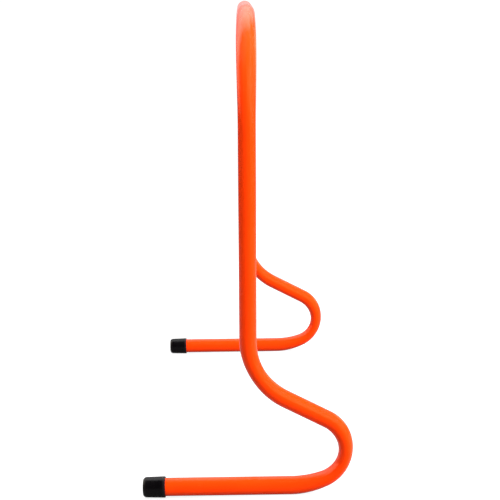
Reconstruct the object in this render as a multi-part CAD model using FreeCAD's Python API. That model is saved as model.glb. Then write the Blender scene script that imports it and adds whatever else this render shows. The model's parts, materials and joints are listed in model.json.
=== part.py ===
"""Speed hurdle: one bent plastic tube on two hairpin feet, with a push-on cap over the end of each foot.

Millimetres and degrees. +X runs along the crossbar, +Y from the capped foot ends towards the loops and
+Z up. The origin is on the floor, at the middle of the hurdle's length and depth.
"""
import FreeCAD, Part
import math
import os
from collections import namedtuple

Vector = FreeCAD.Vector

# Whole frame; bend radii are on the tube's centre line
frame_height = 457.0  # floor to the top of the crossbar
leg_spacing = 462.0  # between the centre planes of the two legs
corner_radius = 100.0  # where an upright turns into the crossbar

# Tube
tube_od = 17.2
tube_wall = 2.0

# Leg, from the open end of the foot to the upright
foot_length = 137.0  # straight tube on the floor
lead_radius = 86.0  # easy bend that lifts the foot into the loop
lead_turn = 22.0
loop_radius = 32.8  # tight bend that brings the tube back over the foot
slope_angle = 28.3  # rise of the slope above the floor
slope_length = 44.0
knee_radius = 64.5  # bend from the slope into the upright
upright_lean = 1.1  # off vertical, towards the loops

# A bent tube flattens: its depth across each bend, at the middle of the bend, in diameters
loop_depth_share = 0.76
knee_depth_share = 0.87
corner_depth_share = 0.91
# The slope and the upright were heated with the bends and stay a little flat between them
shank_depth_share = 0.94
round_share = 1.0

# End cap, a soft tapered cup
cap_rim_od = 20.1
cap_end_od = 19.2
cap_length = 21.4
cap_floor = 3.0
cap_edge_radius = 2.6  # round of the closed end
cap_rim_radius = 0.5  # round outside the open rim
cap_mouth_chamfer = 0.6  # lead-in inside the open rim
cap_clearance = 0.05  # between the tube and the bore of the cap, on the radius

# Sections stand evenly along a bend, at most this many degrees apart at its tightest
section_turn = 11.0

tube_radius = tube_od / 2
X_AXIS = Vector(1, 0, 0)
Z_AXIS = Vector(0, 0, 1)

# A section of the tube: across is the axis that the bend turns about, depth_share lies at right angles to it
Section = namedtuple("Section", "point heading across depth_share")


def width_share(depth_share):
    """Width of a flattened section whose wall keeps its length round."""
    return math.sqrt(2 - depth_share ** 2)


def in_leg_plane(angle):
    """Direction in a leg's plane, at an angle from the floor, with the loops ahead at 0."""
    return FreeCAD.Rotation(X_AXIS, angle).multVec(Vector(0, 1, 0))


def foot_tilt():
    """Fall of the foot towards the loop when the cap's rim and the lead-in bend both touch the floor."""
    rim_to_bend = foot_length + cap_floor - cap_length
    reach = math.hypot(rim_to_bend, lead_radius + cap_rim_od / 2)
    aim = math.atan2(lead_radius + cap_rim_od / 2, rim_to_bend)
    return math.degrees(aim - math.asin((lead_radius + tube_radius) / reach))


def straight(start, length):
    """Run of unchanged section."""
    return [start, start._replace(point=start.point + start.heading * length)]


def bend(start, arcs, middle_share, end_share):
    """Run of sections round consecutive (axis, radius, turn) arcs, flattest at half of its length."""
    total = sum(radius * turn for axis, radius, turn in arcs)
    spacing = section_turn * min(radius for axis, radius, turn in arcs)
    ease = (start.depth_share + end_share) / 2 - middle_share
    run = [start._replace(across=arcs[0][0])]
    travelled = 0.0
    for axis, radius, turn in arcs:
        base = run[-1]
        centre = base.point + axis.cross(base.heading) * radius
        steps = math.ceil(radius * turn / spacing)
        for step in range(1, steps + 1):
            spin = FreeCAD.Rotation(axis, turn * step / steps)
            part = (travelled + radius * turn * step / steps) / total
            blend = part ** 2 * (3 - 2 * part)
            share = start.depth_share + (end_share - start.depth_share) * blend
            share -= ease * math.sin(math.pi * part) ** 2
            point = centre + spin.multVec(base.point - centre)
            run.append(Section(point, spin.multVec(base.heading), axis, share))
        travelled += radius * turn
    return run


def leg_runs():
    """Runs of the right leg, from the open end of its foot to the end of its crossbar corner."""
    tilt = foot_tilt()
    bend_start_height = tube_radius + lead_radius * (1 - math.cos(math.radians(tilt)))
    end_height = bend_start_height + foot_length * math.sin(math.radians(tilt))
    open_end = Section(Vector(leg_spacing / 2, 0, end_height), in_leg_plane(-tilt), X_AXIS, round_share)

    foot = straight(open_end, foot_length)
    loop_turn = 180 - slope_angle + tilt - lead_turn
    loop_arcs = [(X_AXIS, lead_radius, lead_turn), (X_AXIS, loop_radius, loop_turn)]
    loop = bend(foot[-1], loop_arcs, loop_depth_share, shank_depth_share)
    slope = straight(loop[-1], slope_length)

    knee_arcs = [(-X_AXIS, knee_radius, 90 - slope_angle + upright_lean)]
    knee = bend(slope[-1], knee_arcs, knee_depth_share, shank_depth_share)

    up = knee[-1].heading
    bar_height = frame_height - tube_radius
    upright = straight(knee[-1], (bar_height - knee[-1].point.z) / up.z - corner_radius)

    # The crossbar corner turns in another plane, so the upright's width is its depth there
    corner_axis = X_AXIS.cross(up)
    corner_start = upright[-1]._replace(depth_share=width_share(shank_depth_share))
    corner = bend(corner_start, [(corner_axis, corner_radius, 90)], corner_depth_share, round_share)
    return [foot, loop, slope, knee, upright, corner]


def ring(section, inset):
    """Outline of a section in four quarter arcs, inset from the tube's outer surface."""
    across = section.across
    inward = across.cross(section.heading)
    half_width = width_share(section.depth_share) * tube_radius - inset
    half_depth = section.depth_share * tube_radius - inset

    def on_ring(quarters):
        angle = math.pi / 2 * quarters
        return section.point + across * (half_width * math.cos(angle)) + inward * (half_depth * math.sin(angle))

    if section.depth_share == round_share:
        arcs = [Part.Arc(on_ring(k), on_ring(k + 0.5), on_ring(k + 1)) for k in range(4)]
    else:
        first = 0 if half_width > half_depth else 1
        oval = Part.Ellipse(on_ring(first), on_ring(first + 1), section.point)
        turns = [math.pi / 2 * (k - first) for k in range(5)]
        arcs = [Part.ArcOfEllipse(oval, a, b) for a, b in zip(turns, turns[1:])]
    return Part.Wire([arc.toShape() for arc in arcs])


def skin(run, inset):
    """Faces of the tube along a run."""
    rings = [ring(section, inset) for section in run]
    if len(run) == 2:
        return rings[0].extrude(run[1].point - run[0].point).Faces
    return Part.makeLoft(rings).Faces


def frame_tube(runs):
    """The whole tube, hollow from one open foot end to the other."""
    bar_start = runs[-1][-1]
    bar = straight(bar_start, 2 * bar_start.point.x)
    leg_faces = [face for run in runs for inset in (0, tube_wall) for face in skin(run, inset)]
    open_end = runs[0][0]
    leg_faces.append(Part.makeFace([ring(open_end, 0), ring(open_end, tube_wall)], "Part::FaceMakerBullseye"))
    other_leg = [face.mirror(Vector(), X_AXIS) for face in leg_faces]
    bar_faces = [face for inset in (0, tube_wall) for face in skin(bar, inset)]
    shell = Part.makeShell(leg_faces + other_leg + bar_faces)
    shell.sewShape()
    solid = Part.makeSolid(shell)
    if solid.Volume < 0:
        solid.reverse()
    return solid


def end_cap(open_end):
    """Cup over the open end of a foot, with the tube's end on its floor."""
    rim = cap_rim_od / 2
    end = cap_end_od / 2
    bore = tube_radius + cap_clearance

    def corner_arc(radius, height, size, rise):
        """Quarter round that ends at the given radius and height from the cap's axis and closed end."""
        centre = Vector(radius - size, 0, height)
        reach = size * math.sqrt(0.5)
        points = (Vector(size, 0, 0), Vector(reach, 0, rise * reach), Vector(0, 0, rise * size))
        return Part.Arc(*(centre + point for point in points)).toShape()

    closed_edge = corner_arc(end, cap_edge_radius, cap_edge_radius, -1)
    rim_edge = corner_arc(rim, cap_length - cap_rim_radius, cap_rim_radius, 1)
    inside = Part.makePolygon([
        Vector(rim - cap_rim_radius, 0, cap_length),
        Vector(bore + cap_mouth_chamfer, 0, cap_length),
        Vector(bore, 0, cap_length - cap_mouth_chamfer),
        Vector(bore, 0, cap_floor),
        Vector(0, 0, cap_floor),
        Vector(0, 0, 0),
        Vector(end - cap_edge_radius, 0, 0),
    ])
    side = Part.makeLine(Vector(end, 0, cap_edge_radius), Vector(rim, 0, cap_length - cap_rim_radius))
    outline = Part.Wire(Part.sortEdges([closed_edge, side, rim_edge] + inside.Edges)[0])
    cup = Part.Face(outline).revolve(Vector(), Z_AXIS, 360)
    cup.Placement = FreeCAD.Placement(
        open_end.point - open_end.heading * cap_floor, FreeCAD.Rotation(Z_AXIS, open_end.heading))
    return cup


def main():
    runs = leg_runs()
    open_end = runs[0][0]
    right_cap = end_cap(open_end)
    solids = {
        "frame_tube": frame_tube(runs),
        "right_end_cap": right_cap,
        "left_end_cap": right_cap.mirror(Vector(), X_AXIS),
    }
    box = Part.makeCompound(list(solids.values())).optimalBoundingBox(False)
    to_origin = Vector(0, -box.Center.y, 0)
    os.makedirs("parts", exist_ok=True)
    for node, solid in solids.items():
        solid.translate(to_origin)
        solid.exportStep("parts/" + node + ".step")
        print(node, "valid", solid.isValid(), "volume", round(solid.Volume, 1), "mm3")

    pull = -open_end.heading
    print("overall", [round(size, 2) for size in (box.XLength, box.YLength, box.ZLength)], "lowest", box.ZMin)
    print("foot tilt", round(foot_tilt(), 3), "cap pull direction", [round(c, 6) for c in pull])
    print("right tube end", [round(c, 3) for c in open_end.point + to_origin])
    for name, run in zip("foot loop slope knee upright corner".split(), runs):
        print(name, "ends at", [round(c, 2) for c in run[-1].point + to_origin])


main()
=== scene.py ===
"""Looks of the speed hurdle: a bent tube of orange PVC, two black vinyl caps and a plain studio round them.

Laid out as an add-on and run as a script. Metres and radians, in the part's own frame: +X runs along the
crossbar, +Y from the capped foot ends towards the loops and +Z up.
"""
import json
import math
from collections import namedtuple

import bpy
from bpy.props import FloatProperty, FloatVectorProperty, IntProperty, PointerProperty
from mathutils import Matrix, Quaternion, Vector


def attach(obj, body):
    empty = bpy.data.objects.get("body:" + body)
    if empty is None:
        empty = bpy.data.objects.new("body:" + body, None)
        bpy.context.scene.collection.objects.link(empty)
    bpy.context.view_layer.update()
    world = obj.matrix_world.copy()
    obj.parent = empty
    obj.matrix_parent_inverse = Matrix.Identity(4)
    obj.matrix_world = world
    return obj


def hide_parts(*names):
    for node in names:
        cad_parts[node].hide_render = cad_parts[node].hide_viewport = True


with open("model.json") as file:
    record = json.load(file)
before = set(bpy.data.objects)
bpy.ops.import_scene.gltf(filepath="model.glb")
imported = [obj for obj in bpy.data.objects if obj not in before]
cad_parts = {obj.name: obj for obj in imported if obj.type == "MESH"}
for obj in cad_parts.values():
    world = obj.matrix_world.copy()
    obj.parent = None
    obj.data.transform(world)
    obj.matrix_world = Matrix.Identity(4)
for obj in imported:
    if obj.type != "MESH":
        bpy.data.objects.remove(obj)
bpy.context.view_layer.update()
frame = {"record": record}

bl_info = {
    "name": "Speed Hurdle",
    "version": (1, 0, 0),
    "blender": (4, 5, 0),
    "location": "View3D > Sidebar > Hurdle",
    "description": "Bent-tube training hurdle with push-on end caps, in a plain studio",
    "category": "Add Mesh",
}

MM = 0.001
X_AXIS = Vector((1, 0, 0))
ROUND = 1.0  # depth of a section that isn't flattened, in diameters
FIT_TOLERANCE = 0.2 * MM  # how far the tube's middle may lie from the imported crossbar's
SHARP_ANGLE = math.radians(40)  # an edge that turns by more than this is drawn sharp
SAWN_ANGLE = math.radians(60)  # an edge that turns by more than this is a sawn one
SAWN_EDGE_STEPS = 2  # faces across a sawn edge once it is broken

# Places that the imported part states: the crossbar, the closed face of the right cap and the way it pulls off
MOUNTS = {mount["name"]: mount for mount in frame["record"]["mounts"]}
CROSSBAR = MOUNTS["crossbar_clip_seat"]
CROSSBAR_MIDDLE = Vector(CROSSBAR["pos_m"])
CAP_FACE = Vector(MOUNTS["right_cap_end_face"]["pos_m"])
CAP_PULL = Vector(MOUNTS["right_cap_end_face"]["axis"]).normalized()


def linear(hex_colour):
    """Linear RGB of an sRGB hex colour."""
    shares = [int(hex_colour[i:i + 2], 16) / 255 for i in (1, 3, 5)]
    return [s / 12.92 if s <= 0.04045 else ((s + 0.055) / 1.055) ** 2.4 for s in shares]


def length(name, description, default):
    return FloatProperty(
        name=name, description=description, default=default, unit="LENGTH", subtype="DISTANCE", precision=5)


def angle(name, description, degrees):
    return FloatProperty(name=name, description=description, default=math.radians(degrees), subtype="ANGLE")


def share(name, description, default):
    return FloatProperty(
        name=name, description=description, default=default, subtype="FACTOR", min=0.0, max=1.0)


def colour(name, description, hex_colour):
    return FloatVectorProperty(
        name=name, description=description, default=linear(hex_colour), subtype="COLOR", min=0.0, max=1.0)


def brightness(name, description, default):
    return FloatProperty(name=name, description=description, default=default, min=0.0)


class HurdleTube(bpy.types.PropertyGroup):
    """Sizes and colours of the bent tube."""
    radius: length("Radius", "Outer radius where the tube is round", CROSSBAR["dims"]["r_mm"] * MM)
    wall: length("Wall", "Thickness of the tube's wall", 2.0 * MM)
    crossbar: length("Crossbar", "Straight part of the crossbar", CROSSBAR["dims"]["length_mm"] * MM)
    foot: length("Foot", "Straight tube on the floor, from its open end", 137.0 * MM)
    lead_radius: length("Lead Radius", "Easy bend that lifts the foot into the loop", 86.0 * MM)
    lead_turn: angle("Lead Turn", "Turn of the easy bend", 22.0)
    loop_radius: length("Loop Radius", "Tight bend that brings the tube back over the foot", 32.8 * MM)
    slope_angle: angle("Slope", "Rise of the slope above the floor", 28.3)
    slope: length("Slope Length", "Straight tube between the loop and the knee", 44.0 * MM)
    knee_radius: length("Knee Radius", "Bend from the slope into the upright", 64.5 * MM)
    lean: angle("Lean", "Upright off vertical, towards the loops", 1.1)
    loop_depth: share("Loop Depth", "Depth of the flattened tube at the loop, in diameters", 0.76)
    knee_depth: share("Knee Depth", "Depth of the flattened tube at the knee, in diameters", 0.87)
    corner_depth: share("Corner Depth", "Depth of the flattened tube at the corner, in diameters", 0.91)
    shank_depth: share("Shank Depth", "Depth of the slope and the upright, in diameters", 0.94)
    cut_edge: length("Cut Edge", "Broken edge of the sawn ends", 0.25 * MM)
    straight_step: length("Straight Step", "Longest step between sections of a straight", 12.0 * MM)
    bend_step: length("Bend Step", "Longest step between sections of a bend", 2.5 * MM)
    ring_points: IntProperty(name="Ring Points", description="Points round a section", default=48, min=12)
    orange: colour("Orange", "Body colour of the tube", "#EF3B05")
    deep_orange: colour("Deep Orange", "Redder end of the colour's drift along the tube", "#EB3204")
    drawn_orange: colour("Drawn Orange", "Colour of the wall drawn thin outside a bend", "#F3430D")
    gloss_tint: colour("Gloss Tint", "Tint of reflections that are seen square on", "#FF7040")
    scuff: colour("Scuff", "Colour of fine scuffs where the feet rub on the floor", "#FF7A4A")


class HurdleCaps(bpy.types.PropertyGroup):
    """Sizes and colours of the end caps."""
    rim_diameter: length("Rim", "Outside of the open rim", 20.1 * MM)
    end_diameter: length("Closed End", "Outside of the closed end", 19.2 * MM)
    length: length("Length", "Over all", 21.4 * MM)
    floor: length("Floor", "Thickness of the closed end", 3.0 * MM)
    edge_radius: length("Edge", "Round of the closed end", 3.7 * MM)
    rim_radius: length("Rim Round", "Round outside the open rim", 0.5 * MM)
    mouth: length("Mouth", "Lead-in inside the open rim", 0.6 * MM)
    clearance: length("Clearance", "Between the tube and the bore, on the radius", 0.05 * MM)
    # Reach of both the rubbing wear and the painted highlight along the closed edge and the rim
    rub_and_sheen_reach: length("Rub Reach", "How far from an edge the skin is rubbed", 3.4 * MM)
    ring_points: IntProperty(name="Ring Points", description="Points round a section", default=72, min=12)
    black: colour("Black", "Body colour of the caps", "#030203")
    bloom: colour("Bloom", "Greyer patches, where plasticiser has come to the surface", "#060405")
    # Partly rubbing wear and partly a painted highlight: the closed edge and the rim are drawn lighter
    rubbed_and_sheen: colour("Rubbed", "Colour of the skin where it is rubbed along an edge", "#282123")


class HurdleStage(bpy.types.PropertyGroup):
    """Camera, lights and floor."""
    camera: FloatVectorProperty(
        name="Camera", description="Place of the camera", default=(1.30541, 0.0043, 0.47319),
        subtype="TRANSLATION", unit="LENGTH")
    yaw: angle("Yaw", "Camera's turn from the -X direction towards +Y", 0.159)
    pitch: angle("Pitch", "Camera's look below the horizon", 12.32)
    roll: angle("Roll", "Camera's turn about its own axis", -1.426)
    lens: FloatProperty(name="Lens", description="Focal length", default=86.9, unit="CAMERA")
    sensor: FloatProperty(
        name="Sensor", description="Side of the square picture", default=36.0, unit="CAMERA")
    floor: length("Floor", "Side of the table that the hurdle stands on", 3.2)
    floor_fade: share("Floor Fade", "Where the table starts to clear, in half sides", 0.4)
    floor_colour: colour("Floor Colour", "Colour of the table's top", "#7A7A7A")
    floor_glow: brightness("Floor Glow", "Light through the table's top, for the camera alone", 0.85)
    background: brightness("Background", "White behind the table, for the camera alone", 1.05)
    ambient: brightness("Ambient", "Light from all round the studio", 0.46)
    mirrored: brightness("Mirrored", "The part of the ambient light that reflections show", 0.1)
    key: brightness("Key", "Softbox beside the loops, out of the reflections", 7.0)
    gloss: brightness("Gloss", "Smaller softbox nearer the camera, beside the loops", 3.4)
    overhead: brightness("Overhead", "Softbox overhead", 3.5)
    behind: brightness("Behind", "Dimmer softbox overhead and behind", 1.8)
    wing: brightness("Wing", "Softbox beside the caps, in reflections alone", 3.0)
    rim: brightness("Rim", "Softbox behind, beside the loops, in reflections alone", 2.2)
    side_colour: colour("Side Colour", "Colour of the wing and the rim", "#FFF0CC")
    boom: brightness("Boom", "Small lamp close above the crown, out of the reflections", 5.2)
    backdrop: brightness("Backdrop", "Softbox upright behind", 0.65)
    fill: brightness("Fill", "Softbox in front, beside the caps, out of the reflections", 0.72)


def add(tree, kind, inputs=None, out=0, **settings):
    """Adds a node and gives back one of its outputs. An input goes by name or number, and is a value or the
    output that feeds it."""
    node = tree.nodes.new(kind)
    for setting, value in settings.items():
        setattr(node, setting, value)
    for socket, value in (inputs or {}).items():
        if isinstance(value, bpy.types.NodeSocket):
            tree.links.new(value, node.inputs[socket])
        else:
            node.inputs[socket].default_value = value
    return node.outputs[out] if node.outputs else None


def link(name, data):
    """A new object in the scene."""
    thing = bpy.data.objects.new(name, data)
    bpy.context.scene.collection.objects.link(thing)
    return thing


def new_material(name):
    """A material with an empty tree."""
    material = bpy.data.materials.new(name)
    material.use_nodes = True
    material.node_tree.nodes.clear()
    return material


# The tube's middle line

# A section of the tube: side is one axis of its oval, side_share the half size along it in tube radii, and
# curvature points at the middle of a bend, one over the bend's radius long where the bend is in full
Section = namedtuple("Section", "centre heading side side_share curvature")


def other_share(one_share):
    """The other half size of an oval whose wall keeps its length round."""
    return math.sqrt(2 - one_share ** 2)


def smooth_step(part):
    """Eases from 0 to 1."""
    return part ** 2 * (3 - 2 * part)


def straight(start, distance, step):
    """Sections of an unbent stretch, after its start."""
    count = math.ceil(distance / step)
    return [
        start._replace(centre=start.centre + start.heading * (distance * i / count), curvature=Vector())
        for i in range(1, count + 1)
    ]


def bend(start, arcs, middle_depth, end_depth, step):
    """Sections round (axis, radius, turn) arcs that follow each other, after their start. The depth of the
    tube in the plane of the bend goes from the start's to the end's, and is least half of the way along."""
    about_side = round(abs(arcs[0][0].dot(start.side))) == 1
    start_depth = other_share(start.side_share) if about_side else start.side_share
    total = sum(radius * turn for axis, radius, turn in arcs)
    pressed = (start_depth + end_depth) / 2 - middle_depth
    sections = []
    travelled = 0.0
    for axis, radius, turn in arcs:
        base = sections[-1] if sections else start
        pivot = base.centre + axis.cross(base.heading) * radius
        count = math.ceil(radius * turn / step)
        for i in range(1, count + 1):
            spin = Quaternion(axis, turn * i / count)
            part = (travelled + radius * turn * i / count) / total
            fullness = math.sin(math.pi * part)
            depth = start_depth + (end_depth - start_depth) * smooth_step(part) - pressed * fullness ** 2
            heading = spin @ base.heading
            sections.append(Section(
                centre=pivot + spin @ (base.centre - pivot),
                heading=heading,
                side=spin @ base.side,
                side_share=other_share(depth) if about_side else depth,
                curvature=axis.cross(heading) * (fullness / radius)))
        travelled += radius * turn
    return sections


def half_path(tube, cap_floor):
    """Sections from the open end of the right foot to the middle of the crossbar."""
    heading = -CAP_PULL
    tilt = math.asin(-heading.z)
    open_end = CAP_FACE - CAP_PULL * cap_floor
    path = [Section(open_end, heading, X_AXIS, ROUND, Vector())]
    path += straight(path[-1], tube.foot, tube.straight_step)
    loop_turn = math.pi - tube.slope_angle + tilt - tube.lead_turn
    loop = [(X_AXIS, tube.lead_radius, tube.lead_turn), (X_AXIS, tube.loop_radius, loop_turn)]
    path += bend(path[-1], loop, tube.loop_depth, tube.shank_depth, tube.bend_step)
    path += straight(path[-1], tube.slope, tube.straight_step)
    knee = [(-X_AXIS, tube.knee_radius, math.pi / 2 - tube.slope_angle + tube.lean)]
    path += bend(path[-1], knee, tube.knee_depth, tube.shank_depth, tube.bend_step)

    corner_radius = CAP_FACE.x - tube.crossbar / 2
    up = path[-1].heading
    upright = (CROSSBAR_MIDDLE.z - path[-1].centre.z) / up.z - corner_radius
    path += straight(path[-1], upright, tube.straight_step)
    corner = [(X_AXIS.cross(up), corner_radius, math.pi / 2)]
    path += bend(path[-1], corner, tube.corner_depth, ROUND, tube.bend_step)
    path += straight(path[-1], path[-1].centre.x, tube.straight_step)
    if (path[-1].centre - CROSSBAR_MIDDLE).length > FIT_TOLERANCE:
        raise RuntimeError(f"the tube's middle is at {path[-1].centre}, not at the packed crossbar's")
    return path


def path_mesh(tube, cap_floor):
    """The tube's middle line as a chain of edges, with the half axes of each section, in tube radii, on its
    points."""
    right = half_path(tube, cap_floor)
    mirror = Matrix.Scale(-1, 3, X_AXIS)
    centres = []
    vectors = {"side": [], "front": [], "curvature": []}
    for half, turned in ((right, Matrix.Identity(3)), (right[-2::-1], mirror)):
        for section in half:
            front = section.heading.cross(section.side)
            centres.append(turned @ section.centre)
            vectors["side"].extend(turned @ section.side * section.side_share)
            vectors["front"].extend(turned @ front * other_share(section.side_share))
            vectors["curvature"].extend(turned @ section.curvature)
    mesh = bpy.data.meshes.new("tube_path")
    mesh.from_pydata(centres, [(i, i + 1) for i in range(len(centres) - 1)], [])
    for name, numbers in vectors.items():
        mesh.attributes.new(name, "FLOAT_VECTOR", "POINT").data.foreach_set("vector", numbers)
    return mesh


def bent_tube_tree():
    """Sweeps an oval along a path. Its attribute straight is where a point lay before the tube was bent, and
    stretch is how far the bend drew the wall out there, negative where it was pushed together."""
    tree = bpy.data.node_groups.new("Bent Tube", "GeometryNodeTree")
    inputs = {"Path": "Geometry", "Radius": "Float", "Ring Points": "Int", "Finish": "Material"}
    for name, kind in inputs.items():
        tree.interface.new_socket(name, in_out="INPUT", socket_type="NodeSocket" + kind)
    tree.interface.new_socket("Tube", in_out="OUTPUT", socket_type="NodeSocketGeometry")
    given = tree.nodes.new("NodeGroupInput").outputs
    vectors = dict.fromkeys(("centre", "side", "front", "curvature"), "FLOAT_VECTOR")
    numbers = dict.fromkeys(("along", "round"), "FLOAT")
    kept = {
        name: add(tree, "GeometryNodeInputNamedAttribute", {"Name": name}, data_type=kind)
        for name, kind in (vectors | numbers).items()}

    # Before the sweep, each point of the path keeps its place, and each point of the ring its turn
    here = add(tree, "GeometryNodeInputPosition")
    so_far = add(tree, "GeometryNodeSplineParameter", out="Length")
    turned = add(tree, "GeometryNodeSplineParameter", out="Factor")
    path = add(tree, "GeometryNodeMeshToCurve", {"Mesh": given["Path"]})
    ring = add(tree, "GeometryNodeCurvePrimitiveCircle", {
        "Resolution": given["Ring Points"], "Radius": given["Radius"]})
    for name, kind, value in (("centre", "FLOAT_VECTOR", here), ("along", "FLOAT", so_far)):
        path = add(tree, "GeometryNodeStoreNamedAttribute", {
            "Geometry": path, "Name": name, "Value": value}, data_type=kind)
    ring = add(tree, "GeometryNodeStoreNamedAttribute", {
        "Geometry": ring, "Name": "round", "Value": turned}, data_type="FLOAT")
    tube = add(tree, "GeometryNodeCurveToMesh", {"Curve": path, "Profile Curve": ring})

    # After it, each point goes to its place on the oval
    turn = add(tree, "ShaderNodeMath", {0: kept["round"], 1: math.tau}, operation="MULTIPLY")
    cosine = add(tree, "ShaderNodeMath", {0: turn}, operation="COSINE")
    sine = add(tree, "ShaderNodeMath", {0: turn}, operation="SINE")
    to_side = add(tree, "ShaderNodeMath", {0: cosine, 1: given["Radius"]}, operation="MULTIPLY")
    to_front = add(tree, "ShaderNodeMath", {0: sine, 1: given["Radius"]}, operation="MULTIPLY")
    side = add(tree, "ShaderNodeVectorMath", {0: kept["side"], "Scale": to_side}, operation="SCALE")
    front = add(tree, "ShaderNodeVectorMath", {0: kept["front"], "Scale": to_front}, operation="SCALE")
    offset = add(tree, "ShaderNodeVectorMath", {0: side, 1: front}, operation="ADD")
    place = add(tree, "ShaderNodeVectorMath", {0: kept["centre"], 1: offset}, operation="ADD")
    inwards = add(tree, "ShaderNodeVectorMath", {
        0: offset, 1: kept["curvature"]}, out="Value", operation="DOT_PRODUCT")
    drawn = add(tree, "ShaderNodeMath", {0: inwards, 1: -1.0}, operation="MULTIPLY")
    unbent = add(tree, "ShaderNodeCombineXYZ", {0: to_side, 1: to_front, 2: kept["along"]})
    for name, kind, value in (("straight", "FLOAT_VECTOR", unbent), ("stretch", "FLOAT", drawn)):
        tube = add(tree, "GeometryNodeStoreNamedAttribute", {
            "Geometry": tube, "Name": name, "Value": value}, data_type=kind)
    tube = add(tree, "GeometryNodeSetPosition", {"Geometry": tube, "Position": place})
    for name in kept:
        tube = add(tree, "GeometryNodeRemoveAttribute", {"Geometry": tube, "Name": name})
    tube = add(tree, "GeometryNodeRealizeInstances", {"Geometry": tube})
    tube = add(tree, "GeometryNodeSetMaterial", {"Geometry": tube, "Material": given["Finish"]})
    add(tree, "NodeGroupOutput", {0: tube})
    return tree


def set_inputs(modifier, values):
    """Sets the inputs of a Geometry Nodes modifier, by the identifiers of its tree's sockets."""
    for socket in modifier.node_group.interface.items_tree:
        if socket.in_out == "INPUT" and socket.name in values:
            modifier[socket.identifier] = values[socket.name]


def frozen(piece, finish):
    """Turns a piece's modifiers into plain mesh, smooth but for its real edges."""
    bpy.context.view_layer.update()
    evaluated = piece.evaluated_get(bpy.context.evaluated_depsgraph_get())
    mesh = bpy.data.meshes.new_from_object(evaluated)
    unfinished = piece.data
    piece.modifiers.clear()
    piece.data = mesh
    bpy.data.meshes.remove(unfinished)
    mesh.name = piece.name
    mesh.materials.clear()
    mesh.materials.append(finish)
    mesh.shade_smooth()
    mesh.set_sharp_from_angle(angle=SHARP_ANGLE)
    return piece


# Finishes

def extruded_pvc(tube):
    """Rigid PVC, coloured right through, extruded and then bent hot: a satin gloss with faint lines that the
    die drew along the tube, a slow drift of colour, a paler wall where a bend drew it thin, and fine scuffs
    where the feet rub on the floor."""
    die_line = 1.4 * MM  # real lines are a tenth of this, too fine to show here
    die_run = 160 * MM
    die_depth = 0.22 * MM
    drift = 70 * MM
    haze = 9 * MM
    scuff_width = 1.1 * MM
    scuff_run = 9 * MM
    scuff_height = 3.2 * MM
    full_stretch = 0.3  # stretch at which the wall is palest
    drawn_share = 0.6  # of the drawn colour, in the palest wall
    scuff_start = 0.5  # level of the noise at which a scuff starts
    scuff_full = 0.62  # and at which it is in full
    least_noise = 0.7  # of the lines and the haze together, where the gloss is clearest
    most_noise = 1.3  # and where it is dullest
    clear_roughness = 0.1
    dull_roughness = 0.3
    scuff_roughness = 0.3  # what a scuff adds

    material = new_material("extruded_pvc_orange")
    tree = material.node_tree
    unbent = add(tree, "ShaderNodeAttribute", out="Vector", attribute_name="straight")
    stretch = add(tree, "ShaderNodeAttribute", out="Fac", attribute_name="stretch")
    own = add(tree, "ShaderNodeTexCoord", out="Object")

    drifting = add(tree, "ShaderNodeTexNoise", {"Vector": unbent, "Scale": 1 / drift, "Detail": 1.0})
    body = add(tree, "ShaderNodeMix", {
        "Factor": drifting, 6: (*tube.orange, 1), 7: (*tube.deep_orange, 1)}, out=2, data_type="RGBA")
    drawn = add(tree, "ShaderNodeMapRange", {
        "Value": stretch, "From Max": full_stretch, "To Max": drawn_share})
    body = add(tree, "ShaderNodeMix", {
        "Factor": drawn, 6: body, 7: (*tube.drawn_orange, 1)}, out=2, data_type="RGBA")

    height = add(tree, "ShaderNodeSeparateXYZ", {0: own}, out="Z")
    low = add(tree, "ShaderNodeMapRange", {
        "Value": height, "From Min": scuff_height, "From Max": 0.0}, interpolation_type="SMOOTHSTEP")
    scratch_place = add(tree, "ShaderNodeMapping", {
        "Vector": own, "Scale": (1 / scuff_width, 1 / scuff_run, 1 / scuff_width)})
    scratches = add(tree, "ShaderNodeTexNoise", {
        "Vector": scratch_place, "Scale": 1.0, "Detail": 4.0, "Roughness": 0.7})
    scratches = add(tree, "ShaderNodeMapRange", {
        "Value": scratches, "From Min": scuff_start, "From Max": scuff_full})
    scuffs = add(tree, "ShaderNodeMath", {0: low, 1: scratches}, operation="MULTIPLY")
    body = add(tree, "ShaderNodeMix", {
        "Factor": scuffs, 6: body, 7: (*tube.scuff, 1)}, out=2, data_type="RGBA")

    line_place = add(tree, "ShaderNodeMapping", {
        "Vector": unbent, "Scale": (1 / die_line, 1 / die_line, 1 / die_run)})
    lines = add(tree, "ShaderNodeTexNoise", {
        "Vector": line_place, "Scale": 1.0, "Detail": 2.0, "Roughness": 0.55})
    hazing = add(tree, "ShaderNodeTexNoise", {
        "Vector": unbent, "Scale": 1 / haze, "Detail": 3.0, "Roughness": 0.6})
    gloss = add(tree, "ShaderNodeMath", {0: lines, 1: hazing}, operation="ADD")
    gloss = add(tree, "ShaderNodeMapRange", {
        "Value": gloss, "From Min": least_noise, "From Max": most_noise,
        "To Min": clear_roughness, "To Max": dull_roughness})
    gloss = add(tree, "ShaderNodeMath", {0: scuffs, 1: scuff_roughness, 2: gloss}, operation="MULTIPLY_ADD")
    relief = add(tree, "ShaderNodeBump", {"Height": lines, "Distance": die_depth})
    shader = add(tree, "ShaderNodeBsdfPrincipled", {
        "Base Color": body, "Roughness": gloss, "Normal": relief, "IOR": 1.5,
        "Specular Tint": (*tube.gloss_tint, 1)})
    add(tree, "ShaderNodeOutputMaterial", {"Surface": shader})
    return material


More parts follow.
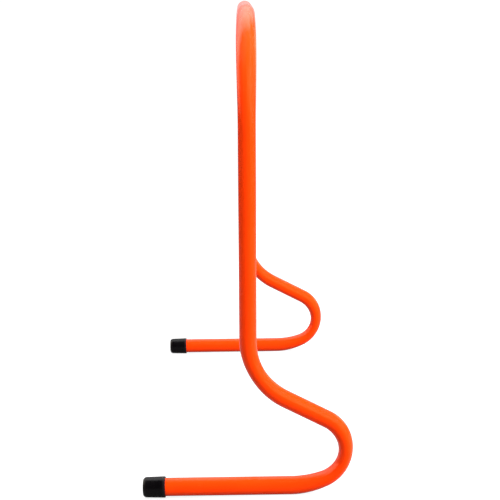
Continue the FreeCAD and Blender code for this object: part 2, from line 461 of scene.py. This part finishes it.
def dipped_vinyl(caps):
    """Soft black vinyl, moulded by dipping a hot former: a satin skin, a little wavy, greyer where it has
    bloomed, and greyer along the closed edge and the rim, partly as rubbing wear and partly as a painted
    highlight."""
    grain = 0.8 * MM  # the real skin is finer, too fine to show here
    grain_depth = 0.08 * MM
    wave = 4 * MM
    wave_depth = 0.3 * MM
    patch = 7 * MM
    relief_strength = 0.4
    least_bloom = 0.3  # level of the patches' noise where the skin is clearest
    most_bloom = 0.7  # and where it is dullest
    clear_roughness = 0.22
    dull_roughness = 0.34
    rub_roughness = 0.2  # what rubbing adds

    material = new_material("dipped_vinyl_black")
    tree = material.node_tree
    own = add(tree, "ShaderNodeTexCoord", out="Object")
    # The rub attribute masks both rubbing wear and a painted highlight along the closed edge and the rim
    rub = add(tree, "ShaderNodeAttribute", out="Fac", attribute_name="rub")
    skin = add(tree, "ShaderNodeTexNoise", {"Vector": own, "Scale": 1 / grain, "Detail": 2.0})
    waves = add(tree, "ShaderNodeTexNoise", {"Vector": own, "Scale": 1 / wave, "Detail": 1.0})
    patches = add(tree, "ShaderNodeTexNoise", {"Vector": own, "Scale": 1 / patch, "Detail": 3.0})
    body = add(tree, "ShaderNodeMix", {
        "Factor": patches, 6: (*caps.black, 1), 7: (*caps.bloom, 1)}, out=2, data_type="RGBA")
    # Lighter along the closed edge and the rim: partly rubbing wear, partly a painted highlight
    worn_and_sheen = add(tree, "ShaderNodeMath", {0: rub, 1: skin}, operation="MULTIPLY")
    body = add(tree, "ShaderNodeMix", {
        "Factor": worn_and_sheen, 6: body, 7: (*caps.rubbed_and_sheen, 1)}, out=2, data_type="RGBA")
    gloss = add(tree, "ShaderNodeMapRange", {
        "Value": patches, "From Min": least_bloom, "From Max": most_bloom,
        "To Min": clear_roughness, "To Max": dull_roughness})
    gloss = add(tree, "ShaderNodeMath", {0: worn_and_sheen, 1: rub_roughness, 2: gloss}, operation="MULTIPLY_ADD")
    relief = add(tree, "ShaderNodeBump", {
        "Height": waves, "Strength": relief_strength, "Distance": wave_depth})
    relief = add(tree, "ShaderNodeBump", {
        "Height": skin, "Strength": relief_strength, "Distance": grain_depth, "Normal": relief})
    shader = add(tree, "ShaderNodeBsdfPrincipled", {
        "Base Color": body, "Roughness": gloss, "Normal": relief, "IOR": 1.52, "Specular IOR Level": 0.12})
    add(tree, "ShaderNodeOutputMaterial", {"Surface": shader})
    return material


# Caps

def rounded(middle, radius, start, end, count=8):
    """Points of an arc, as (radius from the axis, height)."""
    angles = [start + (end - start) * i / count for i in range(count + 1)]
    return [(middle[0] + radius * math.cos(a), middle[1] + radius * math.sin(a)) for a in angles]


def between(first, last, count=12):
    """Points that divide the line between two points."""
    return [tuple(Vector(first).lerp(Vector(last), i / count)) for i in range(1, count)]


def turned_solid(outline, steps):
    """Points and faces of a solid turned about Z. Its outline starts on the axis at the bottom, goes up the
    outside and ends on the axis again. The faces point outwards."""
    (_, first_height), *rings, (_, last_height) = outline
    turns = [math.tau * i / steps for i in range(steps)]
    points = [(radius * math.cos(t), radius * math.sin(t), height) for radius, height in rings for t in turns]
    first_pole = len(points)
    last_pole = first_pole + 1
    last_ring = first_pole - steps
    points += [(0.0, 0.0, first_height), (0.0, 0.0, last_height)]
    faces = []
    for i in range(steps):
        j = (i + 1) % steps
        faces.append((first_pole, j, i))
        faces += [(k + i, k + j, k + steps + j, k + steps + i) for k in range(0, last_ring, steps)]
        faces.append((last_pole, last_ring + i, last_ring + j))
    return points, faces


def cap_mesh(name, caps, tube, face):
    """A cap turned about its axis, with the middle of its closed face at the given place."""
    rim = caps.rim_diameter / 2
    end = caps.end_diameter / 2
    bore = tube.radius + caps.clearance
    quarter = math.pi / 2
    closed_edge = rounded((end - caps.edge_radius, caps.edge_radius), caps.edge_radius, -quarter, 0.0)
    rim_edge = rounded((rim - caps.rim_radius, caps.length - caps.rim_radius), caps.rim_radius, 0.0, quarter)
    bore_top = (bore, caps.length - caps.mouth)
    bore_end = (bore, caps.floor)
    outline = [
        (0.0, 0.0), *closed_edge, *between(closed_edge[-1], rim_edge[0]), *rim_edge,
        (bore + caps.mouth, caps.length), bore_top, *between(bore_top, bore_end), bore_end, (0.0, caps.floor)]
    points, faces = turned_solid(outline, caps.ring_points)
    mesh = bpy.data.meshes.new(name)
    mesh.from_pydata(points, [], faces)

    # This attribute is greatest at the closed edge and the rim, and falls to 0 at its reach from them.
    # It masks both rubbing wear and a painted highlight along those edges.
    rub = mesh.attributes.new("rub", "FLOAT", "POINT")
    for (x, y, height), spot in zip(points, rub.data):
        radius = math.hypot(x, y)
        to_end = math.hypot(radius - end, height)
        to_rim = math.hypot(radius - rim, height - caps.length)
        spot.value = max(0.0, 1 - min(to_end, to_rim) / caps.rub_and_sheen_reach)
    turn = (-CAP_PULL).to_track_quat("Z", "X").to_matrix().to_4x4()
    mesh.transform(Matrix.Translation(face) @ turn)
    return mesh


# Stage

# Each softbox lights surfaces, shows in reflections or does both
Softbox = namedtuple("Softbox", "name place target size lights reflected")
SOFTBOXES = (
    Softbox("key", (0.6, 1.45, 1.2), (0.0, 0.0, 0.2), (2.4, 2.4), lights=True, reflected=False),
    Softbox("gloss", (1.35, 1.1, 1.35), (0.0, 0.0, 0.2), (1.2, 1.2), lights=True, reflected=True),
    Softbox("overhead", (-0.7, -0.9, 1.75), (-0.7, -0.9, 0.0), (1.0, 3.2), lights=True, reflected=True),
    Softbox("behind", (-1.95, -0.5, 1.75), (-1.95, -0.5, 0.0), (1.5, 4.0), lights=True, reflected=True),
    Softbox("wing", (-0.95, -2.75, 1.2), (0.2, 0.0, 0.4), (2.4, 1.5), lights=False, reflected=True),
    Softbox("rim", (-2.0, 2.0, 0.9), (0.2, 0.0, 0.4), (0.8, 1.2), lights=False, reflected=True),
    Softbox("boom", (0.26, -0.14, 1.0), (0.19, 0.0, 0.44), (0.4, 0.6), lights=True, reflected=False),
    Softbox("backdrop", (-2.7, -0.5, 1.0), (0.0, -0.5, 1.0), (4.0, 1.5), lights=True, reflected=True),
    Softbox("fill", (1.5, -1.0, 0.9), (0.0, 0.0, 0.25), (1.4, 1.4), lights=True, reflected=False),
)


def make_softbox(box, stage):
    """A rectangular light of even brightness, which isn't in the picture itself. Its power is its brightness
    times pi times its area."""
    width, height = box.size
    light = bpy.data.lights.new(box.name, "AREA")
    light.shape = "RECTANGLE"
    light.size = width
    light.size_y = height
    light.energy = getattr(stage, box.name) * math.pi * width * height
    if not box.lights:
        light.color = stage.side_colour
    lamp = link(box.name, light)
    lamp.location = box.place
    lamp.rotation_euler = (Vector(box.target) - Vector(box.place)).to_track_quat("-Z", "Y").to_euler()
    lamp.visible_camera = False
    lamp.visible_diffuse = box.lights
    lamp.visible_glossy = box.reflected


def make_floor(stage):
    """A pale table that clears towards its edge and so runs into the white behind it."""
    reach = stage.floor / 2
    mesh = bpy.data.meshes.new("floor")
    corners = [(-reach, -reach, 0), (reach, -reach, 0), (reach, reach, 0), (-reach, reach, 0)]
    mesh.from_pydata(corners, [], [(0, 1, 2, 3)])
    floor = link("floor", mesh)
    material = new_material("lit_acrylic_white")
    tree = material.node_tree
    in_picture = add(tree, "ShaderNodeLightPath", out="Is Camera Ray")
    glow = add(tree, "ShaderNodeMath", {0: in_picture, 1: stage.floor_glow}, operation="MULTIPLY")
    top = add(tree, "ShaderNodeBsdfPrincipled", {
        "Base Color": (*stage.floor_colour, 1), "Roughness": 1.0, "Specular IOR Level": 0.0,
        "Emission Color": (1, 1, 1, 1), "Emission Strength": glow})
    own = add(tree, "ShaderNodeTexCoord", out="Object")
    away = add(tree, "ShaderNodeVectorMath", {0: own}, out="Value", operation="LENGTH")
    fade_start = stage.floor_fade * reach
    clear = add(tree, "ShaderNodeMapRange", {
        "Value": away, "From Min": fade_start, "From Max": reach}, interpolation_type="SMOOTHSTEP")
    nothing = add(tree, "ShaderNodeBsdfTransparent")
    both = add(tree, "ShaderNodeMixShader", {0: clear, 1: top, 2: nothing})
    add(tree, "ShaderNodeOutputMaterial", {"Surface": both})
    mesh.materials.append(material)


def make_world(scene, stage):
    """White to the camera, and a weak even light to everything else, weaker still in reflections."""
    world = bpy.data.worlds.new("studio")
    scene.world = world
    world.use_nodes = True
    tree = world.node_tree
    tree.nodes.clear()
    in_picture = add(tree, "ShaderNodeLightPath", out="Is Camera Ray")
    in_gloss = add(tree, "ShaderNodeLightPath", out="Is Glossy Ray")
    white = add(tree, "ShaderNodeBackground", {"Color": (1, 1, 1, 1), "Strength": stage.background})
    light = add(tree, "ShaderNodeBackground", {"Color": (1, 1, 1, 1), "Strength": stage.ambient})
    dim = add(tree, "ShaderNodeBackground", {"Color": (1, 1, 1, 1), "Strength": stage.mirrored})
    around = add(tree, "ShaderNodeMixShader", {0: in_gloss, 1: light, 2: dim})
    studio = add(tree, "ShaderNodeMixShader", {0: in_picture, 1: around, 2: white})
    add(tree, "ShaderNodeOutputWorld", {"Surface": studio})


def make_camera(scene, stage):
    """A camera that looks along the crossbar, at the stage's yaw, pitch and roll."""
    camera = link("camera", bpy.data.cameras.new("camera"))
    camera.location = stage.camera
    level = math.cos(stage.pitch)
    look = Vector((-math.cos(stage.yaw) * level, math.sin(stage.yaw) * level, -math.sin(stage.pitch)))
    roll = Quaternion((0, 0, 1), stage.roll)
    camera.rotation_euler = (look.to_track_quat("-Z", "Y") @ roll).to_euler()
    camera.data.sensor_width = stage.sensor
    camera.data.lens = stage.lens
    scene.camera = camera


# Operators

class HURDLE_OT_tube(bpy.types.Operator):
    """Make the bent tube"""
    bl_idname = "hurdle.tube"
    bl_label = "Bent Tube"

    def execute(self, context):
        tube = context.scene.hurdle_tube
        finish = extruded_pvc(tube)
        piece = link("bent_tube", path_mesh(tube, context.scene.hurdle_caps.floor))
        sweep = piece.modifiers.new("Sweep", "NODES")
        sweep.node_group = bent_tube_tree()
        set_inputs(sweep, {"Radius": tube.radius, "Ring Points": tube.ring_points, "Finish": finish})
        hollow = piece.modifiers.new("Wall", "SOLIDIFY")
        hollow.thickness = tube.wall
        hollow.offset = -1.0
        hollow.use_even_offset = True
        broken = piece.modifiers.new("Cut Edge", "BEVEL")
        broken.width = tube.cut_edge
        broken.segments = SAWN_EDGE_STEPS
        broken.limit_method = "ANGLE"
        broken.angle_limit = SAWN_ANGLE
        frozen(piece, finish)
        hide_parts("frame_tube")
        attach(piece, "frame")
        return {"FINISHED"}


class HURDLE_OT_caps(bpy.types.Operator):
    """Make the two end caps"""
    bl_idname = "hurdle.caps"
    bl_label = "End Caps"

    def execute(self, context):
        caps = context.scene.hurdle_caps
        finish = dipped_vinyl(caps)
        for side, face in (("right", CAP_FACE), ("left", Vector((-CAP_FACE.x, *CAP_FACE.yz)))):
            name = side + "_vinyl_cap"
            piece = frozen(link(name, cap_mesh(name, caps, context.scene.hurdle_tube, face)), finish)
            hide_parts(side + "_end_cap")
            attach(piece, side + "_cap")
        return {"FINISHED"}


class HURDLE_OT_stage(bpy.types.Operator):
    """Make the floor, the lights and the camera"""
    bl_idname = "hurdle.stage"
    bl_label = "Stage"

    def execute(self, context):
        stage = context.scene.hurdle_stage
        make_floor(stage)
        make_world(context.scene, stage)
        for box in SOFTBOXES:
            make_softbox(box, stage)
        make_camera(context.scene, stage)
        context.scene.view_settings.view_transform = "Standard"
        return {"FINISHED"}


GROUPS = {"hurdle_tube": HurdleTube, "hurdle_caps": HurdleCaps, "hurdle_stage": HurdleStage}
OPERATORS = {"hurdle_tube": HURDLE_OT_tube, "hurdle_caps": HURDLE_OT_caps, "hurdle_stage": HURDLE_OT_stage}


class HURDLE_PT_panel(bpy.types.Panel):
    """The hurdle's operators, each over its sizes and colours"""
    bl_idname = "HURDLE_PT_panel"
    bl_label = "Speed Hurdle"
    bl_space_type = "VIEW_3D"
    bl_region_type = "UI"
    bl_category = "Hurdle"

    def draw(self, context):
        for name, operator in OPERATORS.items():
            self.layout.operator(operator.bl_idname)
            for setting in GROUPS[name].__annotations__:
                self.layout.prop(getattr(context.scene, name), setting)


def register():
    for name, group in GROUPS.items():
        bpy.utils.register_class(group)
        setattr(bpy.types.Scene, name, PointerProperty(type=group))
    for operator in OPERATORS.values():
        bpy.utils.register_class(operator)
    bpy.utils.register_class(HURDLE_PT_panel)


def unregister():
    bpy.utils.unregister_class(HURDLE_PT_panel)
    for operator in OPERATORS.values():
        bpy.utils.unregister_class(operator)
    for name, group in GROUPS.items():
        delattr(bpy.types.Scene, name)
        bpy.utils.unregister_class(group)


def main():
    register()
    bpy.ops.hurdle.tube()
    bpy.ops.hurdle.caps()
    bpy.ops.hurdle.stage()


if __name__ == "__main__":
    main()
